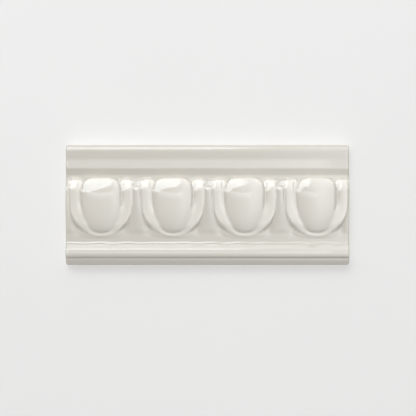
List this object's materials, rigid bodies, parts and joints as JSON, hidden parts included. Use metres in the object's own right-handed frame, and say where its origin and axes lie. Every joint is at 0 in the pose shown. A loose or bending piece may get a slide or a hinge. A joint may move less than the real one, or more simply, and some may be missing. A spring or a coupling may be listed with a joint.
{
  "type": "relief border tile",
  "caption": "Rectangular glazed ceramic border tile with a moulded egg-and-dart band between a plain upper fascia and a rounded lower bead.",
  "frame": {"origin": "centre of the bounding box at the back of the tile, on the surface it lies on", "axes": "+X along the length of the strip, +Y across it towards the plain fascia, which is its upper edge on a wall, +Z out of the glazed face"},
  "size_m": [0.152, 0.0644, 0.0135],
  "materials": {
    "glaze": "glossy off-white glaze"
  },
  "bodies": {
    "root": {"relief_tile": "glaze"}
  },
  "joints": []
}
